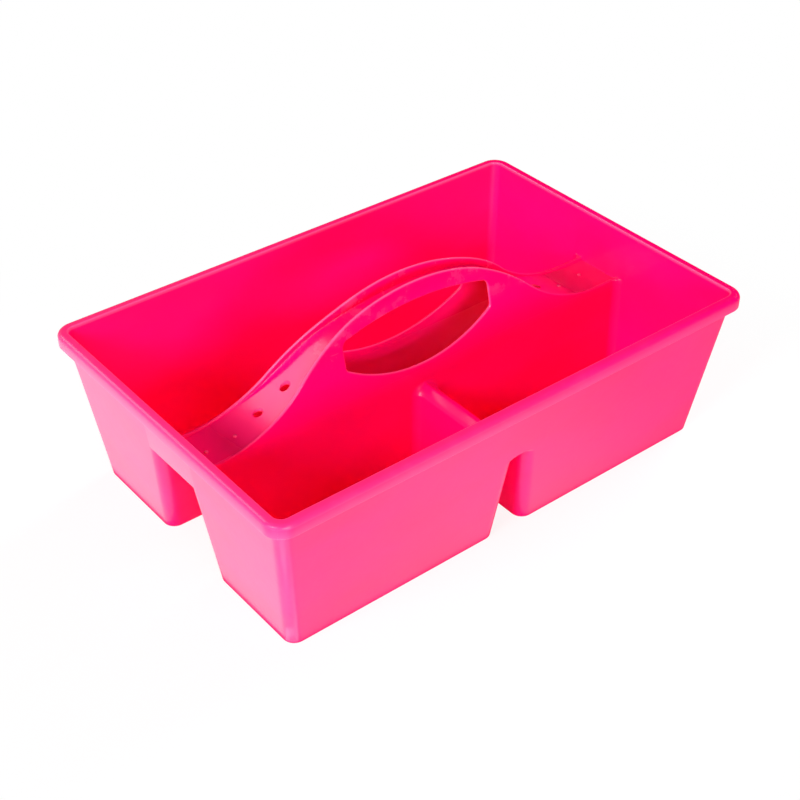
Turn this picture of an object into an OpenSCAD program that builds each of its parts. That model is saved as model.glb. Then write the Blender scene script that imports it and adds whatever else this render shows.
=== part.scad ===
// Grooming box: a one-piece moulded carry tray with three bins, a hollow divider
// that rises into an arched handle, and a turned-over rim. Every region of the
// moulding is its own solid, and neighbours meet face to face.
// Origin: middle of the footprint on the ground. X runs along the box, Z is up,
// and the two small bins are on the -Y side.

/* [Bins] */
// Outside length over the bins at the ground
base_len = 361; // [320:1:400]
// Outside width over the bins at the ground
base_wid = 223; // [200:1:260]
// Height of the box to the top of its rim
tray_h = 119; // [110:1:132]
// Wall thickness, measured level
wall_t = 2.2; // [1.8:0.1:3]
// Thickness of the bin floors
floor_t = 2.4; // [1.8:0.1:4]
// Lean of the outer walls, in degrees
wall_draft = 7; // [4:0.5:9]
// Outside radius of the upright corners
corner_r = 8.5; // [6:0.5:12]
// Outside rounding where a bin's walls meet its floor
foot_r = 2.5; // [1:0.5:4]
// Inside rounding where a bin's walls meet its floor
floor_fillet = 4; // [1:0.5:5]

/* [Rim] */
// Reach of the rim beyond the wall
rim_reach = 5.2; // [4.5:0.1:8]
// Thickness of the rim's flat top
rim_t = 2.4; // [1.8:0.1:3.5]
// Height of the rim's outer skirt
rim_drop = 10; // [6:0.5:16]
// Thickness of the skirt
skirt_t = 2; // [1.5:0.1:3]
// Rounding of the rim's outer top edge
rim_round = 3.5; // [2:0.5:4]

/* [Dividers] */
// Width of the long hollow under the divider at the ground
channel_wid = 57; // [50:1:70]
// Lean of the long divider's sides, in degrees
divider_draft = 7.5; // [5:0.5:8]
// Height of the divider's raised edges where they reach the end walls
shoulder_h = 82; // [78:1:90]
// Width of the cross hollow between the two small bins at the ground
cross_wid = 23; // [20:0.5:30]
// Lean of the cross divider's sides, in degrees
cross_draft = 6; // [3:0.5:7]
// Height of the cross divider's round top
ridge_h = 72; // [62:1:75]

/* [Handle] */
// Height of the top of the handle
handle_h = 147; // [140:1:160]
// Radius of the handle's arched top edges
crown_r = 150; // [130:1:180]
// Radius of the sweep from the arch down to the shoulder
sweep_r = 101; // [80:1:115]
// Width across the grip at its top
grip_wid = 18; // [14:0.5:26]
// Height of the upright sides at the top of the grip
grip_side = 9; // [6:0.5:12]
// Height at which the divider's sides start to lean in towards the grip
bend_h = 107; // [100:1:115]
// Thickness of the strip that closes the top of the divider
web_t = 2.2; // [1.8:0.1:3]
// Depth of the strip below its edges at the shoulders
shoulder_sink = 2.2; // [1:0.1:4]
// Depth of the strip below its edges on the arch, square to it
slope_sink = 6; // [4:0.5:8]
// Depth of the strip below its edges at the middle of the grip
crown_sink = 11.8; // [10:0.1:14]
// Radius of the strip along the middle of the grip
grip_floor_r = 243; // [200:1:300]
// Radius of the strip's sweep down to the shoulder
web_sweep_r = 140; // [120:1:160]
// Distance from the middle at which the grip's strip passes into a shoulder
grip_half = 80; // [70:1:88]

/* [Hand hole] */
// Length of the hand hole
hole_len = 126; // [110:1:132]
// Height of the hole's lower edge at the middle
hole_low = 86; // [84:0.5:95]
// Radius of the hole's lower edge
hole_low_r = 111; // [95:1:140]
// Rounding of the hole's upper corners
hole_top_round = 6; // [3:0.5:8]
// Rounding of the hole's lower corners
hole_low_round = 4; // [2:0.5:6]

/* [Strap holes] */
// Diameter of the round holes through each shoulder
strap_hole_d = 6.5; // [4:0.5:8]
// Distance of the upper strap hole from the middle of the box
strap_hole_upper = 101.5; // [96:0.5:106]
// Distance of the lower strap hole from the middle of the box
strap_hole_lower = 123.5; // [118:0.5:130]

/* [Hidden] */

moulding = "deeppink";
arc_fn = 180;
hull_fn = 32;
foot_steps = 5;
// Overshoot of a cutting body past the face that it cuts
past = 1;
// Height of the thin discs that end a hull
sliver = 0.01;
// How far a corner's waste reaches past its arc, as a factor of the arc's radius
overreach = 1.2;

// Level at which the walls end and the rim sits on them
rim_seat = tray_h - rim_t;
// Level at which the bins' divider walls end and the cheeks stand on them
deck_z = shoulder_h - shoulder_sink - web_t;
// Level at which the cross divider's walls end and its round top sits on them
spring_z = (ridge_h - wall_t - cross_wid / 2) / (1 - tan(cross_draft));

// Outer faces at height z: half length, half width, and the two hollows' half widths
function end_x(z) = base_len / 2 + z * tan(wall_draft);
function side_y(z) = base_wid / 2 + z * tan(wall_draft);
function channel_y(z) = channel_wid / 2 - z * tan(divider_draft);
function cross_x(z) = cross_wid / 2 - z * tan(cross_draft);
// Half width over the divider's two walls
function divider_y(z) = channel_y(z) + wall_t;

// Straight wall starts here beside the long and the cross hollow
end_bridge_y = channel_y(deck_z) + corner_r;
front_bridge_x = cross_x(spring_z) + corner_r;
ridge_in_r = cross_x(spring_z);
ridge_out_r = ridge_in_r + wall_t;

// Levels and half width of the grip's section
grip_y = grip_wid / 2;
grip_low_z = handle_h - grip_side;

// Arch of the edges and of the strip: height of the crown's centre, shared by both
crown_z = handle_h - crown_r;
web_crown_r = crown_r - slope_sink;
web_shoulder = shoulder_h - shoulder_sink;
grip_floor_z = handle_h - crown_sink - grip_floor_r;
hole_half = hole_len / 2;
hole_low_z = hole_low + hole_low_r;

// Distance from the middle to the centre of a sweep that leaves a crown of radius
// r_crown smoothly and ends level at the shoulder
function sweep_x(r_crown, r_sweep, shoulder) =
    sqrt(pow(r_crown + r_sweep, 2) - pow(shoulder + r_sweep - crown_z, 2));

// Places an outline drawn in X and Z as a slab of the given width across Y
module across(width) {
    rotate([90, 0, 0])
        linear_extrude(width, center = true)
            children();
}

// Places an outline drawn in Y and Z as a bar of the given length along X
module along(length) {
    rotate([90, 0, 90])
        linear_extrude(length, center = true)
            children();
}

// A bin's corner at the floor: a disc with a rounded lower edge
module corner_foot(r, rounding) {
    rotate_extrude($fn = hull_fn)
        polygon(concat(
            [[0, 0]],
            [for (i = [0:foot_steps])
                let (a = 90 * i / foot_steps)
                [r - rounding + rounding * sin(a), rounding * (1 - cos(a))]],
            [[0, rounding]]
        ));
}

// Block with leaning sides, a rounded foot and upright round corners. The faces
// are given at the ground, with how far each moves for every unit of height.
module leaning_block(x_faces, x_leans, y_faces, y_leans, r, rounding, bottom, top) {
    hull() {
        for (i = [0, 1]) {
            for (j = [0, 1]) {
                inward = [i == 0 ? r : -r, j == 0 ? r : -r];
                low = bottom + rounding;
                translate([
                    x_faces[i] + x_leans[i] * low + inward.x,
                    y_faces[j] + y_leans[j] * low + inward.y,
                    bottom
                ])
                    corner_foot(r, rounding);
                translate([
                    x_faces[i] + x_leans[i] * top + inward.x,
                    y_faces[j] + y_leans[j] * top + inward.y,
                    top - sliver
                ])
                    cylinder(r = r, h = sliver, $fn = hull_fn);
            }
        }
    }
}

// Open bin: an outer block less an inner one that is a wall thinner all round
module bin_shell(x_faces, x_leans, y_faces, y_leans) {
    inset = [wall_t, -wall_t];
    difference() {
        leaning_block(x_faces, x_leans, y_faces, y_leans, corner_r, foot_r, 0, rim_seat);
        leaning_block(
            x_faces + inset, x_leans, y_faces + inset, y_leans,
            corner_r - wall_t, floor_fillet, floor_t, rim_seat + past
        );
    }
}

// Space above the deck beside the long hollow, which the bins leave free
module above_deck() {
    translate([-base_len, -end_bridge_y, deck_z])
        cube([2 * base_len, 2 * end_bridge_y, tray_h]);
}

// Space above the cross divider's walls, which the small bins leave free
module above_spring() {
    translate([-front_bridge_x, -base_wid, spring_z])
        cube([2 * front_bridge_x, base_wid, tray_h]);
}

// Large bin that runs the whole length on the +Y side
module rear_bin() {
    lean = tan(wall_draft);
    color(moulding)
        difference() {
            bin_shell(
                [-end_x(0), end_x(0)], [-lean, lean],
                [channel_y(0), side_y(0)], [-tan(divider_draft), lean]
            );
            above_deck();
        }
}

// Small bin on the -Y side, at the -X end
module small_bin() {
    lean = tan(wall_draft);
    difference() {
        bin_shell(
            [-end_x(0), -cross_x(0)], [-lean, tan(cross_draft)],
            [-side_y(0), -channel_y(0)], [-lean, tan(divider_draft)]
        );
        above_deck();
        above_spring();
    }
}

module front_left_bin() {
    color(moulding)
        small_bin();
}

module front_right_bin() {
    color(moulding)
        mirror([1, 0, 0])
            small_bin();
}

// Tunnel of the cross hollow where it passes under its round top
module cross_tunnel() {
    translate([0, 0, spring_z])
        rotate([90, 0, 0])
            cylinder(r = ridge_in_r, h = 2 * base_wid, center = true, $fn = arc_fn);
}

// Front wall over the mouth of the cross hollow
module front_bridge() {
    color(moulding)
        difference() {
            along(2 * front_bridge_x)
                polygon([
                    [-side_y(spring_z), spring_z],
                    [-side_y(rim_seat), rim_seat],
                    [-side_y(rim_seat) + wall_t, rim_seat],
                    [-side_y(spring_z) + wall_t, spring_z]
                ]);
            cross_tunnel();
        }
}

// End wall over the mouth of the long hollow, at the +X end
module end_bridge() {
    across(2 * end_bridge_y)
        polygon([
            [end_x(deck_z), deck_z],
            [end_x(rim_seat), rim_seat],
            [end_x(rim_seat) - wall_t, rim_seat],
            [end_x(deck_z) - wall_t, deck_z]
        ]);
}

module left_end_bridge() {
    color(moulding)
        mirror([1, 0, 0])
            end_bridge();
}

module right_end_bridge() {
    color(moulding)
        end_bridge();
}

// Round top of the cross divider, from the front wall to the long divider
module cross_ridge() {
    color(moulding)
        intersection() {
            difference() {
                translate([0, 0, spring_z])
                    rotate([90, 0, 0])
                        cylinder(r = ridge_out_r, h = 2 * base_wid, center = true, $fn = arc_fn);
                cross_tunnel();
            }
            along(4 * ridge_out_r)
                polygon([
                    [-side_y(spring_z) + wall_t, spring_z],
                    [-side_y(tray_h) + wall_t, tray_h],
                    [-divider_y(tray_h), tray_h],
                    [-divider_y(spring_z), spring_z]
                ]);
        }
}

// Region below an arched edge: a crown that sweeps down to level shoulders
module below_arch(r_crown, r_sweep, shoulder) {
    x_sweep = sweep_x(r_crown, r_sweep, shoulder);
    x_join = x_sweep * r_crown / (r_crown + r_sweep);
    z_join = crown_z + sqrt(r_crown * r_crown - x_join * x_join);
    intersection() {
        translate([0, crown_z])
            circle(r_crown, $fn = arc_fn);
        translate([-x_join, 0])
            square([2 * x_join, handle_h + past]);
    }
    for (side = [0, 1]) {
        mirror([side, 0])
            difference() {
                translate([x_join, 0])
                    square([base_len, z_join]);
                translate([x_sweep, shoulder + r_sweep])
                    circle(r_sweep, $fn = arc_fn);
                translate([x_sweep, shoulder])
                    square([base_len, handle_h]);
            }
    }
}

// Region below the strip's upper face, or below its lower face when lowered
module below_web(lowered) {
    intersection() {
        below_arch(web_crown_r - lowered, web_sweep_r + lowered, web_shoulder - lowered);
        union() {
            translate([0, grip_floor_z])
                circle(grip_floor_r - lowered, $fn = 2 * arc_fn);
            for (side = [0, 1]) {
                mirror([side, 0])
                    translate([grip_half, 0])
                        square([base_len, handle_h]);
            }
        }
    }
}

// Centre of a corner rounding that touches the hole's end and the inside of an arc
function corner_centre(round_r, arc_z, arc_r, up) =
    [hole_half - round_r, arc_z + up * sqrt(pow(arc_r - round_r, 2) - pow(hole_half - round_r, 2))];

// Corner of the hand hole outside its rounding
module corner_waste(centre, arc_z) {
    out = overreach * (centre - [0, arc_z]);
    polygon([
        centre,
        [0, arc_z] + out,
        [hole_len, arc_z + out.y],
        [hole_len, centre.y]
    ]);
}

// Hand hole: its top follows the strip's lower face, its foot is one long arc
module hand_hole() {
    top = corner_centre(hole_top_round, crown_z, web_crown_r - web_t, 1);
    low = corner_centre(hole_low_round, hole_low_z, hole_low_r, -1);
    difference() {
        intersection() {
            below_web(web_t);
            translate([0, hole_low_z])
                circle(hole_low_r, $fn = arc_fn);
            translate([-hole_half, 0])
                square([hole_len, handle_h]);
        }
        for (side = [0, 1]) {
            mirror([side, 0]) {
                corner_waste(top, crown_z);
                corner_waste(low, hole_low_z);
            }
        }
    }
    for (side = [0, 1]) {
        mirror([side, 0]) {
            translate(top)
                circle(hole_top_round, $fn = arc_fn);
            translate(low)
                circle(hole_low_round, $fn = arc_fn);
        }
    }
}

// Half section of the divider's outside above a level, moved in by an inset
function cheek_line(bottom, inset) = [
    [divider_y(bottom) - inset, bottom],
    [divider_y(bend_h) - inset, bend_h],
    [grip_y - inset, grip_low_z],
    [grip_y - inset, handle_h + past]
];

function reversed(points) = [for (i = [len(points) - 1:-1:0]) points[i]];

// Space between the two end walls
module between_ends() {
    across(base_wid)
        polygon([
            [-end_x(0) + wall_t, 0],
            [end_x(0) - wall_t, 0],
            [end_x(handle_h + past) - wall_t, handle_h + past],
            [-end_x(handle_h + past) + wall_t, handle_h + past]
        ]);
}

// One side of the divider above a level, on the +Y side, with its hand hole
module cheek(bottom) {
    intersection() {
        along(2 * base_len)
            polygon(concat(cheek_line(bottom, 0), reversed(cheek_line(bottom, wall_t))));
        across(base_wid)
            difference() {
                below_arch(crown_r, sweep_r, shoulder_h);
                hand_hole();
            }
        between_ends();
    }
}

module rear_cheek() {
    color(moulding)
        cheek(deck_z);
}

// The front cheek also closes the divider over the cross hollow's inner mouth
module front_cheek() {
    color(moulding)
        mirror([0, 1, 0])
            difference() {
                cheek(spring_z);
                for (side = [0, 1]) {
                    mirror([side, 0, 0])
                        translate([front_bridge_x, 0, 0])
                            cube([base_len, base_wid, deck_z]);
                }
                cross_tunnel();
            }
}

// Strip between the cheeks that closes the top of the divider
module web() {
    intersection() {
        along(2 * base_len)
            polygon(concat(
                cheek_line(deck_z, wall_t),
                [for (p = reversed(cheek_line(deck_z, wall_t))) [-p.x, p.y]]
            ));
        across(base_wid)
            difference() {
                below_web(0);
                below_web(web_t);
            }
        between_ends();
    }
}

// Floor of the grip's channel, over the hand hole
module grip_floor() {
    color(moulding)
        intersection() {
            web();
            translate([-grip_half, -base_wid / 2, 0])
                cube([2 * grip_half, base_wid, handle_h]);
        }
}

// Strip from the grip down to the +X end wall, with its strap holes
module shoulder() {
    difference() {
        web();
        translate([grip_half - 2 * base_len, -base_wid / 2, 0])
            cube([2 * base_len, base_wid, handle_h]);
        for (x = [strap_hole_upper, strap_hole_lower]) {
            translate([x, 0, 0])
                cylinder(d = strap_hole_d, h = handle_h, $fn = arc_fn);
        }
    }
}

module left_shoulder() {
    color(moulding)
        mirror([1, 0, 0])
            shoulder();
}

module right_shoulder() {
    color(moulding)
        shoulder();
}

// Section of the turned-over rim: X is measured outwards from the wall's outer face
module rim_section() {
    round_x = rim_reach - rim_round;
    round_z = tray_h - rim_round;
    polygon([
        [-wall_t, rim_seat],
        [-wall_t + rim_t * tan(wall_draft), tray_h],
        [round_x, tray_h],
        [rim_reach, round_z],
        [rim_reach, tray_h - rim_drop],
        [rim_reach - skirt_t, tray_h - rim_drop],
        [rim_reach - skirt_t, rim_seat]
    ]);
    intersection() {
        translate([round_x, round_z])
            circle(rim_round, $fn = arc_fn);
        translate([round_x, round_z])
            square(rim_round);
    }
}

// Half corner of the rim, turned about the corner's own centre
module rim_corner() {
    rotate_extrude(angle = 45, $fn = arc_fn)
        translate([corner_r, 0])
            rim_section();
}

// One side of the rim: a straight run of half length run, whose outer wall face is at
// face, and half a corner at each end. It lies along Y on the +X side.
module rim_side(face, run) {
    translate([face, 0, 0])
        rotate([90, 0, 0])
            linear_extrude(2 * run, center = true)
                rim_section();
    for (side = [0, 1]) {
        mirror([0, side, 0])
            translate([face - corner_r, run, 0])
                rim_corner();
    }
}

// Faces that the rim stands on, to a hundredth, so that a run meets its corners exactly
function neat(v) = round(100 * v) / 100;
rim_face_x = neat(end_x(rim_seat));
rim_face_y = neat(side_y(rim_seat));
rim_run_x = rim_face_x - corner_r;
rim_run_y = rim_face_y - corner_r;

module front_rim() {
    color(moulding)
        rotate([0, 0, -90])
            rim_side(rim_face_y, rim_run_x);
}

module rear_rim() {
    color(moulding)
        rotate([0, 0, 90])
            rim_side(rim_face_y, rim_run_x);
}

module left_rim() {
    color(moulding)
        rotate([0, 0, 180])
            rim_side(rim_face_x, rim_run_y);
}

module right_rim() {
    color(moulding)
        rim_side(rim_face_x, rim_run_y);
}

rear_bin();
front_left_bin();
front_right_bin();
front_bridge();
left_end_bridge();
right_end_bridge();
cross_ridge();
front_cheek();
rear_cheek();
grip_floor();
left_shoulder();
right_shoulder();
front_rim();
rear_rim();
left_rim();
right_rim();
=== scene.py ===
import math

import bmesh
import bpy
from mathutils import Matrix, Vector
from mathutils.geometry import delaunay_2d_cdt


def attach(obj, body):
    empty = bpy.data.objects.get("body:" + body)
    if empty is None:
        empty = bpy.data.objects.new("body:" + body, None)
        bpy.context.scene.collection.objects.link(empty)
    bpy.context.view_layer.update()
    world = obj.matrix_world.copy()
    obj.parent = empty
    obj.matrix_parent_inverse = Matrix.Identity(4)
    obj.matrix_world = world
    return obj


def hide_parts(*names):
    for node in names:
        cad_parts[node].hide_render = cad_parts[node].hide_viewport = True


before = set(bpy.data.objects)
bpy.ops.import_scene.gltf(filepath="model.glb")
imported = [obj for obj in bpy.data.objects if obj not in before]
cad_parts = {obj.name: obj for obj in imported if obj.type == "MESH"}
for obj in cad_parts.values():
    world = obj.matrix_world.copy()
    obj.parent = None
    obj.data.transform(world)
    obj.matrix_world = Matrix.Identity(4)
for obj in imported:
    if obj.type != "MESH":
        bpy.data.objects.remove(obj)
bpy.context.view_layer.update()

# Sizes of the moulding in millimetres, the same ones that drive the solids
MM = 0.001
base_len = 361
base_wid = 223
tray_h = 119
wall_t = 2.2
floor_t = 2.4
corner_r = 8.5
floor_fillet = 4
rim_reach = 5.2
rim_t = 2.4
rim_drop = 10
skirt_t = 2
rim_round = 3.5
channel_wid = 57
shoulder_h = 82
cross_wid = 23
ridge_h = 72
handle_h = 147
crown_r = 150
sweep_r = 101
grip_wid = 18
grip_side = 9
bend_h = 107
web_t = 2.2
shoulder_sink = 2.2
slope_sink = 6
crown_sink = 11.8
grip_floor_r = 243
web_sweep_r = 140
grip_half = 80
hole_half = 63
hole_low = 86
hole_low_r = 111
hole_top_round = 6
hole_low_round = 4
strap_hole_r = 3.25
strap_holes = (101.5, 123.5)

# Leans of the walls, as run for each unit of height
lean = math.tan(math.radians(7))
divider_lean = math.tan(math.radians(7.5))
cross_lean = math.tan(math.radians(6))

# Roundings that only the dressed model has, or that it has smaller than the solids
foot_r = 1.2
edge_round = 1.08
hole_edge = 1.0
fine_edge = 0.4
end_fillet = 0.3
rim_inner_edge = 0.9
rim_lower_edge = 0.7
rim_throat = 1.0

# Pips of the dressed model: their places along and across the strip, their size, and the painted highlight
# that makes them pale
pips = ((-166, -3), (-144.5, -4), (144, -3), (171, 3))
pip_r = 1.4
pip_rise = 1.0
pip_highlight = 0.5

# Sizes that follow from the others
inner_r = corner_r - wall_t
rim_seat = tray_h - rim_t
deck_z = shoulder_h - shoulder_sink - web_t
spring_z = (ridge_h - wall_t - cross_wid / 2) / (1 - cross_lean)
crown_z = handle_h - crown_r
web_crown_r = crown_r - slope_sink
web_shoulder = shoulder_h - shoulder_sink
grip_floor_z = handle_h - crown_sink - grip_floor_r

# Distances from a wall at which a piece that flares into it is drawn
flare_steps = [inner_r * (1 - math.cos(math.pi / 2 * i / 9)) for i in range(10)]


def end_x(z):
    return base_len / 2 + z * lean


def side_y(z):
    return base_wid / 2 + z * lean


def channel_y(z):
    return channel_wid / 2 - z * divider_lean


def cross_x(z):
    return cross_wid / 2 - z * cross_lean


def end_inside(z):
    return end_x(z) - wall_t


end_bridge_y = channel_y(deck_z) + corner_r
front_bridge_x = cross_x(spring_z) + corner_r


def eased(z, knee, spread):
    """Ramp that starts at a knee, with the knee itself rounded over a spread."""
    past = z - knee
    if past <= -spread:
        return 0.0
    if past >= spread:
        return past
    return (past + spread) ** 2 / (4 * spread)


def clamped(value):
    return min(max(value, 0), 1)


bend_spread = 4
grip_spread = 5
bend_slope = (grip_wid / 2 - channel_y(bend_h) - wall_t) / (handle_h - grip_side - bend_h)


def divider_y(z):
    """Half width over the divider, which leans in twice and ends upright."""
    return (channel_y(z) + wall_t
            + (bend_slope + divider_lean) * eased(z, bend_h, bend_spread)
            - bend_slope * eased(z, handle_h - grip_side, grip_spread))


def fillet(distance, r):
    """Rise of a hollow rounding of radius r at a distance from the face that it meets."""
    if distance >= r:
        return 0.0
    return r - math.sqrt(max(0.0, r * r - (r - max(distance, 0.0)) ** 2))


def arch_z(x, r_crown, r_sweep, shoulder):
    """Height of an arched line: a crown that sweeps down to a level shoulder."""
    x = abs(x)
    x_sweep = math.sqrt((r_crown + r_sweep) ** 2 - (shoulder + r_sweep - crown_z) ** 2)
    if x < x_sweep * r_crown / (r_crown + r_sweep):
        return crown_z + math.sqrt(r_crown ** 2 - x * x)
    if x < x_sweep:
        return shoulder + r_sweep - math.sqrt(r_sweep ** 2 - (x_sweep - x) ** 2)
    return shoulder


def edge_z(x):
    return arch_z(x, crown_r, sweep_r, shoulder_h)


def strip_z(x, lowered, blend=0.0):
    """Height of the strip between the cheeks; blend rounds the joint of its two arcs."""
    slope = arch_z(x, web_crown_r - lowered, web_sweep_r + lowered, web_shoulder - lowered)
    if abs(x) > grip_half:
        return slope
    grip = grip_floor_z + math.sqrt((grip_floor_r - lowered) ** 2 - x * x)
    near = max(blend - abs(grip - slope), 0.0)
    return min(grip, slope) - (near * near / (4 * blend) if blend else 0.0)


def spaced(start, stop, step):
    """Even steps from start to stop, both included."""
    count = max(1, round(abs(stop - start) / step))
    return [start + (stop - start) * i / count for i in range(count + 1)]


def arc(centre, r, start, stop, count):
    """Points on an arc, angles in degrees."""
    turn = [math.radians(start + (stop - start) * i / count) for i in range(count + 1)]
    return [(centre[0] + r * math.cos(a), centre[1] + r * math.sin(a)) for a in turn]


def add_piece(name, points, faces, finish, *nodes, edges=None):
    """Closed mesh from points in millimetres, standing for the named solids. edges says how
    far each point lies on a rounded edge, from 0 to 1, and so how strong the painted highlight is there."""
    body = bmesh.new()
    mark = body.verts.layers.float.new("edge")
    # The edge attribute holds the painted highlight along rounded edges
    corners = [body.verts.new(Vector(p) * MM) for p in points]
    for corner, value in zip(corners, edges or []):
        corner[mark] = value
    for face in faces:
        body.faces.new([corners[i] for i in face])
    weld(body)
    finish_piece(name, body, finish, *nodes)


def weld(body):
    """Joins points that lie on each other and drops faces without area."""
    bmesh.ops.remove_doubles(body, verts=body.verts, dist=2e-6)
    bmesh.ops.dissolve_degenerate(body, edges=body.edges, dist=1e-6)


def finish_piece(name, body, finish, *nodes):
    """Turns a body's faces outward, smooths all but its sharp edges and hands it to the frame."""
    crease = math.radians(38)
    bmesh.ops.recalc_face_normals(body, faces=body.faces)
    if body.calc_volume(signed=True) < 0:
        bmesh.ops.reverse_faces(body, faces=body.faces)
    for face in body.faces:
        face.smooth = True
    for edge in body.edges:
        edge.smooth = edge.calc_face_angle(0.0) < crease
    mesh = bpy.data.meshes.new(name)
    body.to_mesh(mesh)
    body.free()
    mesh.materials.clear()
    mesh.materials.append(finish)
    piece = bpy.data.objects.new(name, mesh)
    bpy.context.scene.collection.objects.link(piece)
    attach(piece, "root")
    if nodes:
        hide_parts(*nodes)


def moved_in(before, here, after):
    """Corner of an outline after the edges beside it move in by their own roundings."""
    a = Vector((here[0] - before[0], here[1] - before[1])).normalized()
    b = Vector((after[0] - here[0], after[1] - here[1])).normalized()
    point = Vector((here[0], here[1]))
    turn = a.x * b.y - a.y * b.x
    if abs(turn) < 1e-4:
        return point + Vector((-b.y, b.x)) * max(before[2], here[2])
    one = point + Vector((-a.y, a.x)) * before[2]
    two = point + Vector((-b.y, b.x)) * here[2]
    gap = two - one
    return one + a * ((gap.x * b.y - gap.y * b.x) / turn)


def inside(point, loop):
    """Whether a flat point lies in a closed outline."""
    hit = False
    for i, here in enumerate(loop):
        last = loop[i - 1]
        if (here[1] > point[1]) != (last[1] > point[1]):
            cross = here[0] + (point[1] - here[1]) * (last[0] - here[0]) / (last[1] - here[1])
            hit ^= point[0] < cross
    return hit


def moulded_wall(outline, holes, face, back, fill, clear, steps=4):
    """Closed wall between two surfaces, with rounded edges.

    The outline runs anticlockwise and the holes clockwise. Each of their points is
    (u, v, rounding of the edge that starts there). face and back turn (u, v) into a
    point in space. fill holds inner points of the mesh, kept clear of the edges. The third
    result marks the points on rounded edges with the strength of the painted highlight there.
    """
    loops = [outline] + holes
    flat, edges, starts = [], [], []
    for loop in loops:
        count = len(loop)
        starts.append(len(flat))
        flat += [moved_in(loop[i - 1], loop[i], loop[(i + 1) % count]) for i in range(count)]
        edges += [(starts[-1] + i, starts[-1] + (i + 1) % count) for i in range(count)]
    border = list(flat)
    rings = [flat[start:start + len(loop)] for loop, start in zip(loops, starts)]
    for p in fill:
        if inside(p, rings[0]) and not any(inside(p, ring) for ring in rings[1:]):
            spot = Vector(p)
            if all((spot - b).length > clear for b in border):
                flat.append(spot)
    spots, _, cells, origin = delaunay_2d_cdt(flat, edges, [], 1, 1e-7)[:4]
    place = {source: i for i, sources in enumerate(origin) for source in sources}
    total = len(spots)
    points = [face(p.x, p.y) for p in spots] + [back(p.x, p.y) for p in spots]
    # Strength of the painted highlight at each point, set on the rounded edges
    faces, edge_highlight = [], [0.0] * len(points)
    for cell in cells:
        middle = sum((spots[i] for i in cell), Vector((0, 0))) / len(cell)
        if any(inside(middle, ring) for ring in rings[1:]):
            continue
        faces.append(tuple(cell))
        faces.append(tuple(total + i for i in reversed(cell)))
    for loop, start in zip(loops, starts):
        rows = []
        for i, here in enumerate(loop):
            inner = flat[start + i]
            step_out = Vector(here[:2]) - inner
            rounding = max(loop[i - 1][2], here[2])
            column = [place[start + i]]
            for half in (0, 1):
                order = range(1, steps + 1) if half == 0 else range(steps, 0, -1)
                for k in order:
                    a = math.pi / 2 * k / steps
                    u, v = inner + step_out * math.sin(a)
                    near, far = Vector(face(u, v)), Vector(back(u, v))
                    share = rounding * (1 - math.cos(a)) / max((far - near).length, 1e-6)
                    column.append(len(points))
                    points.append(near.lerp(far, share if half == 0 else 1 - share))
                    # Painted highlight, strongest at the middle of the rounded edge
                    edge_highlight.append(min(rounding, 1) * math.sin(a) ** 2)
            column.append(total + place[start + i])
            rows.append(column)
        for i, column in enumerate(rows):
            after = rows[(i + 1) % len(rows)]
            for k in range(len(column) - 1):
                faces.append((column[k], after[k], after[k + 1], column[k + 1]))
    return points, faces, edge_highlight


def with_edge(points, rounding):
    return [(p[0], p[1], rounding) for p in points]


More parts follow.
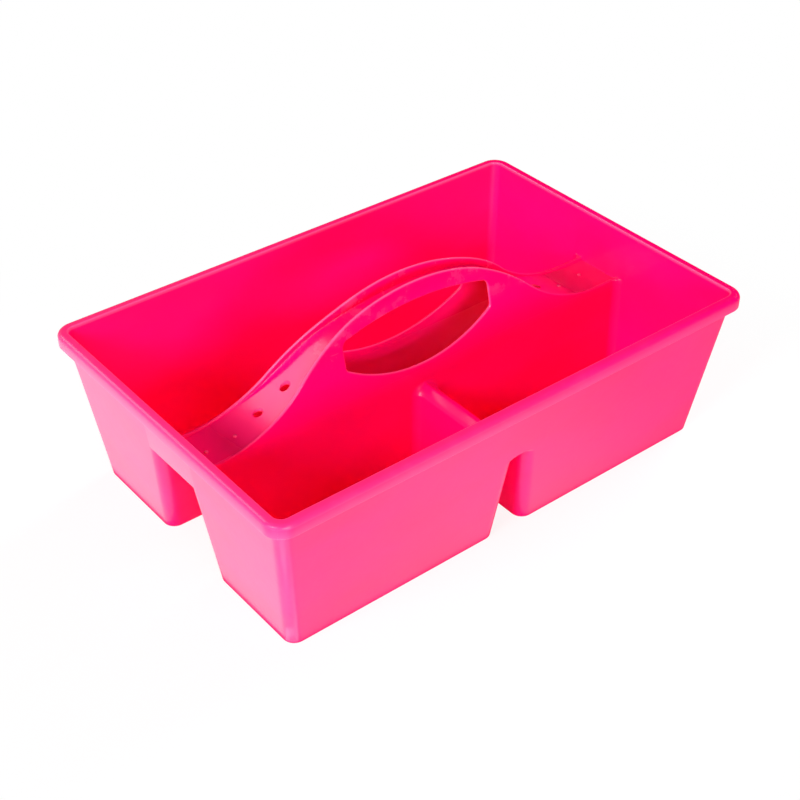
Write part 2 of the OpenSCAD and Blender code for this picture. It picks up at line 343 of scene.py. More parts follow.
def bin_piece(name, faces_at, leans, tops, finish, node):
    """Bin with leaning walls, round corners, a rounded foot and a hollow rounding at
    its floor. Sides are x0, x1, y0 and y1, and each ends at its own level."""
    corner_steps = 10
    foot_steps = 6
    support = 2.0
    levels = sorted(set(tops.values()))

    def wall_at(side, z):
        return faces_at[side] + leans[side] * z

    def inward(side):
        return 1 if side.endswith("0") else -1

    def stop(side, z):
        return wall_at(side, min(z, tops[side])) + inward(side) * corner_r

    corners = (("x0", "y0", 180), ("y0", "x1", 270), ("x1", "y1", 0), ("y1", "x0", 90))
    column_tops = []
    for first, second, _ in corners:
        column_tops += [tops[first]] * 2
        column_tops += [min(tops[first], tops[second])] * (corner_steps - 1)
        column_tops += [tops[second]] * 2

    def on_side(side, other, z, inset, extra):
        face = wall_at(side, z) + inward(side) * inset
        along = stop(other, z) + inward(other) * extra
        return (face, along, z) if side[0] == "x" else (along, face, z)

    def ring(z, inset):
        loop = []
        for first, second, start in corners:
            x_side, y_side = (first, second) if first[0] == "x" else (second, first)
            centre = (wall_at(x_side, z) + inward(x_side) * corner_r,
                      wall_at(y_side, z) + inward(y_side) * corner_r)
            loop.append(on_side(first, second, z, inset, support))
            loop.append(on_side(first, second, z, inset, 0))
            turn = arc(centre, corner_r - inset, start, start + 90, corner_steps)
            loop += [(x, y, z) for x, y in turn[1:-1]]
            loop.append(on_side(second, first, z, inset, 0))
            loop.append(on_side(second, first, z, inset, support))
        return loop

    def rows(bottom, r, inset):
        """Height and inset of each loop, from the floor up."""
        tilt = math.atan(lean)
        deepest = r / math.cos(tilt)
        out = [(bottom, inset + deepest + support)]
        for i in range(foot_steps + 1):
            a = math.pi / 2 + (tilt - math.pi / 2) * i / foot_steps
            rise = r * (1 - math.sin(a))
            reach = rise * lean + deepest - r * lean - r * math.cos(a)
            out.append((bottom + rise, inset + reach))
        out.append((bottom + r + support, inset))
        return out + [(z, inset) for z in levels]

    points, faces, shells = [], [], []
    for bottom, r, inset in ((0, foot_r, 0), (floor_t, floor_fillet, wall_t)):
        shell = rows(bottom, r, inset)
        grid = []
        for z, reach in shell:
            loop = ring(z, reach)
            grid.append(range(len(points), len(points) + len(loop)))
            points += loop
        count = len(column_tops)
        for i in range(len(shell) - 1):
            for c in range(count):
                d = (c + 1) % count
                if shell[i + 1][0] <= min(column_tops[c], column_tops[d]) + 1e-6:
                    faces.append((grid[i][c], grid[i][d], grid[i + 1][d], grid[i + 1][c]))
        faces.append(tuple(grid[0]))
        shells.append(grid[-len(levels):])
    outer, inner = shells
    for c in range(count):
        d = (c + 1) % count
        ahead = levels.index(min(column_tops[c], column_tops[d]))
        behind = levels.index(min(column_tops[c], column_tops[c - 1]))
        faces.append((outer[ahead][c], outer[ahead][d], inner[ahead][d], inner[ahead][c]))
        for i in range(min(ahead, behind), max(ahead, behind)):
            faces.append((outer[i][c], outer[i + 1][c], inner[i + 1][c], inner[i][c]))
    used = sorted({i for face in faces for i in face})
    renumber = {old: new for new, old in enumerate(used)}
    add_piece(name, [points[i] for i in used],
              [tuple(renumber[i] for i in face) for face in faces], finish, node)


def bins(finish):
    tall = {"x0": rim_seat, "x1": rim_seat, "y0": rim_seat, "y1": rim_seat}
    bin_piece("long_bin",
              {"x0": -end_x(0), "x1": end_x(0), "y0": channel_y(0), "y1": side_y(0)},
              {"x0": -lean, "x1": lean, "y0": -divider_lean, "y1": lean},
              {**tall, "y0": deck_z}, finish, "rear_bin")
    bin_piece("left_short_bin",
              {"x0": -end_x(0), "x1": -cross_x(0), "y0": -side_y(0), "y1": -channel_y(0)},
              {"x0": -lean, "x1": cross_lean, "y0": -lean, "y1": divider_lean},
              {**tall, "y1": deck_z, "x1": spring_z}, finish, "front_left_bin")
    bin_piece("right_short_bin",
              {"x0": cross_x(0), "x1": end_x(0), "y0": -side_y(0), "y1": -channel_y(0)},
              {"x0": -cross_lean, "x1": lean, "y0": -lean, "y1": divider_lean},
              {**tall, "y1": deck_z, "x0": spring_z}, finish, "front_right_bin")


def bridges(finish):
    """Walls over the mouths of the two hollows, flush with the bins beside them."""
    for name, node, side in (("left_bridge", "left_end_bridge", -1), ("right_bridge", "right_end_bridge", 1)):
        outline = [(-end_bridge_y, deck_z, fine_edge), (end_bridge_y, deck_z, 0),
                   (end_bridge_y, rim_seat, 0), (-end_bridge_y, rim_seat, 0)]
        # The third result holds the painted highlight on the wall's rounded edge
        points, faces, edge_highlight = moulded_wall(
            outline, [], lambda u, v: (side * end_x(v), u, v),
            lambda u, v: (side * end_inside(v), u, v), [], 1)
        add_piece(name, points, faces, finish, node, edges=edge_highlight)
    front_mouth(finish)


def front_mouth(finish):
    """Front wall over the mouth of the cross hollow. The rounding of the corners beside it
    runs up and over the arch, where it fades out."""
    mouth_r = cross_x(spring_z)
    turns, steps, support = 32, 8, 0.8
    deepest = math.acos(inner_r / corner_r)
    rounding = [(front_bridge_x - corner_r * math.sin(a), corner_r - corner_r * math.cos(a))
                for a in (deepest * k / steps for k in range(steps + 1))]
    points, columns = [], []
    for i in range(turns + 1):
        a = math.pi * i / turns
        z = spring_z + mouth_r * math.sin(a)
        line = [(-half * math.cos(a), -side_y(z) + depth, z) for half, depth in rounding]
        line.append((-front_bridge_x * math.cos(a), -side_y(rim_seat) + wall_t, rim_seat))
        line.append((-front_bridge_x * math.cos(a), -side_y(rim_seat), rim_seat))
        line.append((-front_bridge_x * math.cos(a), -side_y(z + support), z + support))
        columns.append(range(len(points), len(points) + len(line)))
        points += line
    count = len(columns[0])
    faces = [(one[k], two[k], two[(k + 1) % count], one[(k + 1) % count])
             for one, two in zip(columns[:-1], columns[1:]) for k in range(count)]
    for column, side in ((columns[0], -1), (columns[-1], 1)):
        low = len(points)
        points.append((side * front_bridge_x, -side_y(spring_z) + wall_t, spring_z))
        faces.append(tuple(column[:steps + 1]) + (low,))
        faces.append((column[steps], column[steps + 1], low))
        faces.append((column[0], low) + tuple(column[steps + 1:]))
    add_piece("front_bridge_wall", points, faces, finish, "front_bridge")


def ridge(finish):
    """Round top of the cross divider. Its crown lies lower and its flanks further in than in the
    solid. Both its ends flare out, at its foot with the same rounding as the corners of the bins
    below, so that it runs smoothly into the walls."""
    tilt = math.atan(cross_lean)
    span = math.cos(tilt) * (cross_wid / 2 + wall_t - ridge_h * cross_lean) / (1 - math.sin(tilt))
    centre_z = ridge_h - span
    turns = 28
    mouth_r = cross_x(spring_z)
    crown_flare, crown_drop, flank_drop = 1.5, 1.2, 0.8
    crown_breadth = 0.7
    past_flare = inner_r + 12
    stations = [("front", d) for d in flare_steps + [past_flare]]
    stations += [("cheek", d) for d in [past_flare] + flare_steps[::-1]]

    def lowered(a):
        return crown_drop * math.sin(a) ** crown_breadth + flank_drop * abs(math.sin(2 * a))

    def flared(d):
        """Outside of the ridge at a distance from the wall that it meets."""
        line = [(mouth_r + wall_t + fillet(d, inner_r) / math.cos(tilt), spring_z)]
        for i in range(turns + 1):
            a = tilt + (math.pi - 2 * tilt) * i / turns
            r = span - lowered(a) + fillet(d, inner_r + (crown_flare - inner_r) * math.sin(a) ** 2)
            line.append((r * math.cos(a), centre_z + r * math.sin(a)))
        return line + [(-line[0][0], spring_z)]

    def hollow(d, opens):
        """Inside of the ridge, which keeps the height of the arches at both its ends and may open
        towards the mouth in the front wall."""
        line = [(mouth_r, spring_z)]
        for i in range(turns + 1):
            a = tilt + (math.pi - 2 * tilt) * i / turns
            r = span - wall_t - lowered(a) * min(d / inner_r, 1)
            line.append((r * math.cos(a), centre_z + r * math.sin(a)))
        wider = 1 + fillet(wall_t + d, corner_r) / mouth_r if opens else 1
        return [(x * wider, z) for x, z in line + [(-mouth_r, spring_z)]]

    def rows(section, cheek_section):
        grid = []
        for end, d in stations:
            if end == "front":
                grid.append([(x, -side_y(z) + wall_t + d, z) for x, z in section(d)])
            else:
                grid.append([(x, -divider_y(z) - d, z) for x, z in cheek_section(d)])
        return grid

    outer, inner = rows(flared, flared), rows(lambda d: hollow(d, True), lambda d: hollow(d, False))
    wide = len(outer[0])
    points = [p for row in outer + inner for p in row]
    half = len(outer) * wide
    faces = []
    for i in range(len(outer) - 1):
        for k in range(wide - 1):
            a = i * wide + k
            faces.append((a, a + 1, a + wide + 1, a + wide))
            faces.append((half + a, half + a + wide, half + a + wide + 1, half + a + 1))
        for k in (0, wide - 1):
            a = i * wide + k
            faces.append((a, a + wide, half + a + wide, half + a))
    for i in (0, len(outer) - 1):
        for k in range(wide - 1):
            a = i * wide + k
            faces.append((a, a + 1, half + a + 1, half + a))
    add_piece("cross_ridge_top", points, faces, finish, "cross_ridge")


def hand_hole():
    """Outline of the hand hole, clockwise, with its edge rounding."""
    top_r = web_crown_r - web_t
    top = (hole_half - hole_top_round,
           crown_z + math.sqrt((top_r - hole_top_round) ** 2 - (hole_half - hole_top_round) ** 2))
    low_z = hole_low + hole_low_r
    low = (hole_half - hole_low_round,
           low_z - math.sqrt((hole_low_r - hole_low_round) ** 2 - (hole_half - hole_low_round) ** 2))
    top_turn = math.degrees(math.atan2(top[1] - crown_z, top[0]))
    low_turn = math.degrees(math.atan2(low[1] - low_z, low[0]))
    right = arc(top, hole_top_round, top_turn, 0, 8)
    right += arc(low, hole_low_round, 0, low_turn, 8)
    foot = arc((0, low_z), hole_low_r, low_turn, -180 - low_turn, 44)[1:-1]
    left = [(-x, z) for x, z in reversed(right)]
    roof = [(x, strip_z(x, web_t)) for x in spaced(-right[0][0], right[0][0], 3)[1:-1]]
    return with_edge(right + foot + left + roof, hole_edge)


def cheeks(finish):
    """Two sides of the hollow divider, with the hand hole and full round top edges. Their
    ends flare out into the end walls."""
    clear, past_flare = 1.2, inner_r + 2
    face_half, foot_half = 174, 170
    # Painted highlight along the top edge: pale along the crown, fading to a tenth on the shoulders, sooner
    # on the right; the hand hole's edge gets a weaker one, weaker still on the rear cheek
    top_band, fade_run, faded = 3, 40, 0.9
    fade_left, fade_right = 110, 80
    hole_highlight = {-1: 0.65, 1: 0.4}

    def near_ends(z, steps):
        return [end * (end_inside(z) - d) for end in (-1, 1) for d in steps]

    hole = hand_hole()
    xs = spaced(-face_half, face_half, 4) + near_ends(deck_z, flare_steps[1:] + [past_flare])
    fill = [(x, z) for x in xs for z in spaced(deck_z + clear, handle_h, 2.2)]
    top_half = end_inside(shoulder_h) - past_flare
    top_xs = sorted(spaced(-top_half, top_half, 3) + near_ends(shoulder_h, flare_steps))
    foot_xs = sorted(spaced(-foot_half, foot_half, 6) + near_ends(deck_z, flare_steps + [past_flare]))
    mouth_r = cross_x(spring_z)
    for name, node, side in (("front_cheek_wall", "front_cheek", -1), ("rear_cheek_wall", "rear_cheek", 1)):
        foot = [(x, deck_z) for x in foot_xs]
        if side < 0:
            tab = [(-front_bridge_x, deck_z), (-front_bridge_x, spring_z)]
            tab += arc((0, spring_z), mouth_r, 180, 0, 24)
            tab += [(front_bridge_x, spring_z), (front_bridge_x, deck_z)]
            foot = ([p for p in foot if p[0] < -front_bridge_x - 1] + tab
                    + [p for p in foot if p[0] > front_bridge_x + 1])
        top = [(x, edge_z(x) + fillet(end_inside(shoulder_h) - abs(x), end_fillet)) for x in reversed(top_xs)]
        outline = with_edge(foot, 0) + with_edge(top[:-1], edge_round) + [top[-1] + (0,)]

        def face(u, v):
            return (u, side * (divider_y(v) + fillet(end_inside(v) - abs(u), inner_r)), v)

        def back(u, v):
            return (u, side * (divider_y(v) - wall_t), v)

        points, faces, edge_highlight = moulded_wall(outline, [hole], face, back, fill, clear)
        # Painted highlight: the top edge keeps it up to the fade, the hand hole's edge gets its share by side
        for i, (x, _, z) in enumerate(points):
            if z > edge_z(x) - top_band:
                past = abs(x) - (fade_left if x < 0 else fade_right)
                edge_highlight[i] *= 1 - faded * clamped(past / fade_run)
            else:
                edge_highlight[i] *= hole_highlight[side]
        add_piece(name, points, faces, finish, node, edges=edge_highlight)


def strips(finish):
    """Strip between the cheeks: dished along the grip, shallow on the shoulders, with a hollow
    rounding along the cheeks that grows with its depth."""
    blend = 4
    hollow_share, hollow_least, hollow_most = 0.25, 0.8, 0.9
    end_steps = (0.15, 0.4, 0.8, 1.4, 2.1)
    hole_rings, hole_clear = (0.9, 1.9), 2.6
    shares = (0, 0.3, 0.5, 0.64, 0.75, 0.83, 0.9, 0.95, 0.985)

    def half_width(x):
        return divider_y(strip_z(x, 0, blend)) - wall_t

    def hollow(x):
        depth = edge_z(x) - strip_z(x, 0, blend)
        return min(max(hollow_share * depth, hollow_least), hollow_most * half_width(x))

    def face(u, v):
        z = strip_z(u, 0, blend) + fillet(half_width(u) - abs(v), hollow(u))
        return (u, v, z + fillet(end_inside(z) - abs(u), end_fillet))

    def back(u, v):
        return (u, v, strip_z(u, web_t, blend))

    def strip(name, node, start, stop, holes):
        xs = spaced(start, stop, 2.5)
        for side in (-1, 1):
            end = side * end_inside(web_shoulder)
            if end in (start, stop):
                xs += [end - side * d for d in end_steps]
        xs.sort()
        low = [(x, -half_width(x)) for x in xs]
        across = [side * share for side in (-1, 1) for share in shares if share or side > 0]
        across.sort()
        far_end = [(xs[-1], share * half_width(xs[-1])) for share in across]
        near_end = [(xs[0], -share * half_width(xs[0])) for share in across]
        outline = with_edge(low + far_end + [(x, -y) for x, y in reversed(low)] + near_end, 0)
        cut = [with_edge(arc((x, 0), strap_hole_r, 360, 0, 28)[:-1], fine_edge) for x in holes]
        fill = [(x, side * share * half_width(x)) for x in xs[1:-1] for share in shares
                for side in ((1,) if share == 0 else (1, -1))]
        fill = [p for p in fill
                if all(math.hypot(p[0] - x, p[1]) > strap_hole_r + hole_clear for x in holes)]
        for x in holes:
            for grow in hole_rings:
                fill += arc((x, 0), strap_hole_r + grow, 0, 360, 24)[:-1]
        # The third result holds the painted highlight on the rounded edges of the strap holes
        points, faces, edge_highlight = moulded_wall(outline, cut, face, back, fill, 0.12, steps=3)
        add_piece(name, points, faces, finish, node, edges=edge_highlight)

    end = end_inside(web_shoulder)
    strip("grip_strip", "grip_floor", -grip_half, grip_half, [])
    strip("left_strip", "left_shoulder", -end, -grip_half, [-x for x in strap_holes])
    strip("right_strip", "right_shoulder", grip_half, end, list(strap_holes))


def shape_tree(name, start, measures, result):
    """Empty geometry tree that takes a start, some sizes and a finish. Gives the tree, its inputs
    and the identifiers by which the sizes are set."""
    tree = bpy.data.node_groups.new(name, "GeometryNodeTree")

    def socket(label, kind, way="INPUT"):
        return tree.interface.new_socket(label, in_out=way, socket_type="NodeSocket" + kind).identifier

    socket(start, "Geometry")
    sizes = {measure: socket(measure, "Float") for measure in measures}
    sizes["Finish"] = socket("Finish", "Material")
    socket(result, "Geometry", "OUTPUT")
    return tree, tree.nodes.new("NodeGroupInput").outputs, sizes


def finish_tree(tree, shape, finish):
    """Last nodes of a geometry tree, which give one plain mesh in its finish."""
    add, link = tree.nodes.new, tree.links.new
    whole = add("GeometryNodeRealizeInstances")
    link(shape, whole.inputs[0])
    dressed = add("GeometryNodeSetMaterial")
    link(whole.outputs[0], dressed.inputs["Geometry"])
    link(finish, dressed.inputs["Material"])
    link(dressed.outputs[0], add("NodeGroupOutput").inputs[0])


def rim_tree():
    """Sweeps the section of the turned-over rim along a path, from named sizes. The section's
    Y axis points down once it is swept."""
    tree, size, sizes = shape_tree("turned rim", "Path", (
        "Wall", "Lean", "Reach", "Top", "Drop", "Skirt",
        "Outer round", "Inner edge", "Lower edge", "Throat"), "Rim")
    add, link = tree.nodes.new, tree.links.new

    def spot(x, y):
        node = add("ShaderNodeCombineXYZ")
        if x is not None:
            link(x, node.inputs[0])
        if y is not None:
            link(y, node.inputs[1])
        return node.outputs[0]

    inner = calc(tree, "MULTIPLY", size["Wall"], -1)
    under, foot = size["Top"], size["Drop"]
    skirt_in = calc(tree, "SUBTRACT", size["Reach"], size["Skirt"])
    corners = (
        (spot(inner, under), None),
        (spot(calc(tree, "ADD", inner, size["Lean"]), None), size["Inner edge"]),
        (spot(size["Reach"], None), size["Outer round"]),
        (spot(size["Reach"], foot), size["Lower edge"]),
        (spot(skirt_in, foot), size["Lower edge"]),
        (spot(skirt_in, under), size["Throat"]),
    )
    index = add("GeometryNodeInputIndex")
    places, rounds = add("GeometryNodeIndexSwitch"), add("GeometryNodeIndexSwitch")
    places.data_type = "VECTOR"
    rounds.data_type = "FLOAT"
    for switch in (places, rounds):
        while len(switch.index_switch_items) < len(corners):
            switch.index_switch_items.new()
        link(index.outputs[0], switch.inputs[0])
    for i, (place, rounding) in enumerate(corners):
        link(place, places.inputs[i + 1])
        if rounding is not None:
            link(rounding, rounds.inputs[i + 1])
    line = add("GeometryNodeMeshLine")
    line.inputs["Count"].default_value = len(corners)
    shaped = add("GeometryNodeSetPosition")
    link(line.outputs[0], shaped.inputs["Geometry"])
    link(places.outputs[0], shaped.inputs["Position"])
    section = add("GeometryNodeMeshToCurve")
    link(shaped.outputs[0], section.inputs["Mesh"])
    closed = add("GeometryNodeSetSplineCyclic")
    closed.inputs["Cyclic"].default_value = True
    link(section.outputs[0], closed.inputs[0])
    rounded = add("GeometryNodeFilletCurve")
    rounded.mode = "POLY"
    rounded.inputs["Count"].default_value = 7
    link(closed.outputs[0], rounded.inputs["Curve"])
    link(rounds.outputs[0], rounded.inputs["Radius"])
    path = add("GeometryNodeMeshToCurve")
    link(size["Path"], path.inputs["Mesh"])
    upright = add("GeometryNodeSetCurveNormal")
    upright.mode = "Z_UP"
    link(path.outputs[0], upright.inputs["Curve"])
    swept = add("GeometryNodeCurveToMesh")
    swept.inputs["Fill Caps"].default_value = True
    link(upright.outputs[0], swept.inputs["Curve"])
    link(rounded.outputs[0], swept.inputs["Profile Curve"])
    finish_tree(tree, swept.outputs[0], size["Finish"])
    return tree, sizes


def baked(name, points, edges, tree, values):
    """Runs a tree on a line of points and gives its result as a plain mesh."""
    line = bpy.data.meshes.new(name + " line")
    line.from_pydata([Vector(p) * MM for p in points], edges, [])
    carrier = bpy.data.objects.new(name + " line", line)
    bpy.context.scene.collection.objects.link(carrier)
    modifier = carrier.modifiers.new("make", "NODES")
    modifier.node_group = tree
    for identifier, value in values.items():
        modifier[identifier] = value
    graph = bpy.context.evaluated_depsgraph_get()
    mesh = bpy.data.meshes.new_from_object(carrier.evaluated_get(graph))
    carrier.modifiers.clear()
    bpy.data.objects.remove(carrier)
    body = bmesh.new()
    body.from_mesh(mesh)
    weld(body)
    return body


def rims(finish):
    """Turned-over rim in four runs that meet at mitres in the middle of the corners."""
    tree, sizes = rim_tree()
    values = {
        sizes["Wall"]: wall_t * MM, sizes["Lean"]: rim_t * lean * MM, sizes["Reach"]: rim_reach * MM,
        sizes["Top"]: rim_t * MM, sizes["Drop"]: rim_drop * MM, sizes["Skirt"]: skirt_t * MM,
        sizes["Outer round"]: rim_round * MM, sizes["Inner edge"]: rim_inner_edge * MM,
        sizes["Lower edge"]: rim_lower_edge * MM, sizes["Throat"]: rim_throat * MM,
        sizes["Finish"]: finish,
    }
    # Painted highlight on the edges of the rim; on the top it is palest on the left and fades out towards the
    # right
    inner_highlight, lower_highlight, top_highlight = 0.7, 0.3, 0.28
    fade_end, fade_run = 120, 220
    mitre_step = 0.1
    run_x = end_x(rim_seat) - corner_r
    run_y = side_y(rim_seat) - corner_r
    centres = ((-run_x, -run_y), (run_x, -run_y), (run_x, run_y), (-run_x, run_y))
    for i, (name, node) in enumerate((("front_rim_run", "front_rim"), ("right_rim_run", "right_rim"),
                                      ("rear_rim_run", "rear_rim"), ("left_rim_run", "left_rim"))):
        turn = 225 + 90 * i
        here, after = centres[i], centres[(i + 1) % 4]
        start, middle, stop = turn + mitre_step, turn + 45, turn + 90 - mitre_step
        first = arc(here, corner_r, turn, start, 1)[:1] + arc(here, corner_r, start, middle, 12)
        last = arc(after, corner_r, middle, stop, 12) + arc(after, corner_r, stop, turn + 90, 1)[1:]
        support = (Vector(last[0]) - Vector(first[-1])).normalized() * 2
        line = first + [tuple(Vector(first[-1]) + support), tuple(Vector(last[0]) - support)] + last
        path = [(x, y, tray_h) for x, y in line]
        body = baked(name, path, [(k, k + 1) for k in range(len(path) - 1)], tree, values)
        # Painted highlight on the inner edge, the lower edge and the top of the rim
        mark = body.verts.layers.float.new("edge")
        for corner in body.verts:
            x, y, z = corner.co / MM
            out = math.hypot(max(abs(x) - run_x, 0), max(abs(y) - run_y, 0)) - corner_r
            if out < 1.0 - wall_t and z > tray_h - 1.1:
                corner[mark] = inner_highlight
            elif out > rim_reach - 0.5 and z < tray_h - rim_drop + 1:
                corner[mark] = lower_highlight
            elif z > tray_h - rim_round:
                corner[mark] = top_highlight * clamped((fade_end - x) / fade_run)
        finish_piece(name, body, finish, node)


def pip_tree():
    """Sets a low round pip on every point."""
    tree, given, sizes = shape_tree("round pips", "Points", ("Radius", "Rise"), "Pips")
    add, link = tree.nodes.new, tree.links.new
    ball = add("GeometryNodeMeshUVSphere")
    ball.inputs["Segments"].default_value = 24
    ball.inputs["Rings"].default_value = 12
    ball.inputs["Radius"].default_value = 1
    size = add("ShaderNodeCombineXYZ")
    for i, measure in enumerate(("Radius", "Radius", "Rise")):
        link(given[measure], size.inputs[i])
    spread = add("GeometryNodeInstanceOnPoints")
    link(given["Points"], spread.inputs["Points"])
    link(ball.outputs[0], spread.inputs["Instance"])
    link(size.outputs[0], spread.inputs["Scale"])
    finish_tree(tree, spread.outputs[0], given["Finish"])
    return tree, sizes


def strip_pips(finish):
    """Four small pips on the level ends of the strip."""
    tree, sizes = pip_tree()
    values = {sizes["Radius"]: pip_r * MM, sizes["Rise"]: pip_rise * MM, sizes["Finish"]: finish}
    spots = [(x, y, strip_z(x, 0)) for x, y in pips]
    body = baked("strip_pips", spots, [], tree, values)
    mark = body.verts.layers.float.new("edge")
    # Painted highlight that makes every pip pale
    for corner in body.verts:
        corner[mark] = pip_highlight
    finish_piece("strip_pips", body, finish)


def shader_group(name, inputs, outputs):
    """Empty shader group with its named sockets; gives the tree, its input and its output."""
    tree = bpy.data.node_groups.new(name, "ShaderNodeTree")
    for socket, kind, value in inputs:
        made = tree.interface.new_socket(socket, in_out="INPUT", socket_type="NodeSocket" + kind)
        if value is not None:
            made.default_value = value
    for socket, kind in outputs:
        tree.interface.new_socket(socket, in_out="OUTPUT", socket_type="NodeSocket" + kind)
    return tree, tree.nodes.new("NodeGroupInput").outputs, tree.nodes.new("NodeGroupOutput").inputs


def noise(tree, place, scale, detail, roughness=0.5):
    node = tree.nodes.new("ShaderNodeTexNoise")
    node.inputs["Detail"].default_value = detail
    node.inputs["Roughness"].default_value = roughness
    tree.links.new(place, node.inputs["Vector"])
    if isinstance(scale, (int, float)):
        node.inputs["Scale"].default_value = scale
    else:
        tree.links.new(scale, node.inputs["Scale"])
    return node.outputs["Fac"]


def calc(tree, operation, a, b):
    node = tree.nodes.new("ShaderNodeMath")
    node.operation = operation
    for socket, value in zip(node.inputs, (a, b)):
        if isinstance(value, (int, float)):
            socket.default_value = value
        else:
            tree.links.new(value, socket)
    return node.outputs[0]


def between(tree, value, low, high, to_low=0.0, to_high=1.0):
    node = tree.nodes.new("ShaderNodeMapRange")
    node.interpolation_type = "SMOOTHSTEP"
    for socket, number in zip(node.inputs[1:5], (low, high, to_low, to_high)):
        socket.default_value = number
    tree.links.new(value, node.inputs[0])
    return node.outputs[0]


def stretched(tree, place, scale, turn):
    node = tree.nodes.new("ShaderNodeMapping")
    node.inputs["Scale"].default_value = scale
    node.inputs["Rotation"].default_value = turn
    tree.links.new(place, node.inputs["Vector"])
    return node.outputs[0]


def skin_group():
    """Skin of the moulding: a fine satin grain, a slow ripple and an uneven gloss."""
    tree, given, result = shader_group(
        "moulded skin",
        [("Place", "Vector", None), ("Grain", "Float", 1500.0), ("Gloss", "Float", 0.35),
         ("Unevenness", "Float", 0.05)],
        [("Height", "Float"), ("Roughness", "Float")])
    grain = noise(tree, given["Place"], given["Grain"], 2)
    peel = noise(tree, given["Place"], 210, 2)
    ripple = noise(tree, given["Place"], 34, 1)
    height = calc(tree, "ADD", calc(tree, "MULTIPLY", grain, 0.16), calc(tree, "MULTIPLY", peel, 0.4))
    tree.links.new(calc(tree, "ADD", height, ripple), result["Height"])
    cloud = noise(tree, given["Place"], 22, 4, 0.6)
    shift = calc(tree, "MULTIPLY", calc(tree, "SUBTRACT", cloud, 0.5), given["Unevenness"])
    tree.links.new(calc(tree, "ADD", given["Gloss"], shift), result["Roughness"])
    return tree


def marks_group():
    """Handling marks: fine scratches that lie in patches, and dull rubbed spots."""
    tree, given, result = shader_group(
        "handling marks",
        [("Place", "Vector", None), ("Wear", "Float", 0.5)],
        [("Scratches", "Float"), ("Rubbed", "Float")])
    lengthwise = stretched(tree, given["Place"], (14, 160, 160), (0, 0, 0.25))
    crosswise = stretched(tree, given["Place"], (150, 18, 60), (0, 0.4, -0.3))
    along = between(tree, noise(tree, lengthwise, 6, 2), 0.66, 0.74)
    over = between(tree, noise(tree, crosswise, 7, 2), 0.67, 0.75)
    patch = between(tree, noise(tree, given["Place"], 13, 3), 0.42, 0.66)
    lines = calc(tree, "MULTIPLY", calc(tree, "MAXIMUM", along, over), patch)
    tree.links.new(calc(tree, "MULTIPLY", lines, given["Wear"]), result["Scratches"])
    spots = between(tree, noise(tree, given["Place"], 48, 5, 0.62), 0.5, 0.72)
    tree.links.new(calc(tree, "MULTIPLY", spots, given["Wear"]), result["Rubbed"])
    return tree


def resin_group():
    """Colour of the resin: slow streaks of flow, paler where it is scratched or rubbed, and
    a painted highlight along rounded edges."""
    tree, given, result = shader_group(
        "resin colour",
        [("Place", "Vector", None), ("Deep", "Color", (1.0, 0.0, 0.12, 1)),
         ("Light", "Color", (1.0, 0.0, 0.145, 1)), ("Pale", "Color", (1.0, 0.16, 0.34, 1)),
         ("Scratches", "Float", 0.0), ("Rubbed", "Float", 0.0),
         ("Highlight colour", "Color", (1.0, 0.09, 0.26, 1)), ("Edge highlight", "Float", 0.0)],
        [("Colour", "Color")])
    highlight_share, worn_share = 0.9, 0.3
    streaks = stretched(tree, given["Place"], (1, 1, 2.4), (0.2, 0.1, 0.3))
    flow = between(tree, noise(tree, streaks, 9, 3, 0.55), 0.3, 0.7)

    def mix(share, a, b):
        node = tree.nodes.new("ShaderNodeMix")
        node.data_type = "RGBA"
        tree.links.new(share, node.inputs["Factor"])
        tree.links.new(a, node.inputs[6])
        tree.links.new(b, node.inputs[7])
        return node.outputs[2]

    body = mix(flow, given["Deep"], given["Light"])
    # Painted highlight along rounded edges, in its own paler colour
    body = mix(calc(tree, "MULTIPLY", given["Edge highlight"], highlight_share), body, given["Highlight colour"])
    for mark in ("Rubbed", "Scratches"):
        body = mix(calc(tree, "MULTIPLY", given[mark], worn_share), body, given["Pale"])
    tree.links.new(body, result["Colour"])
    return tree


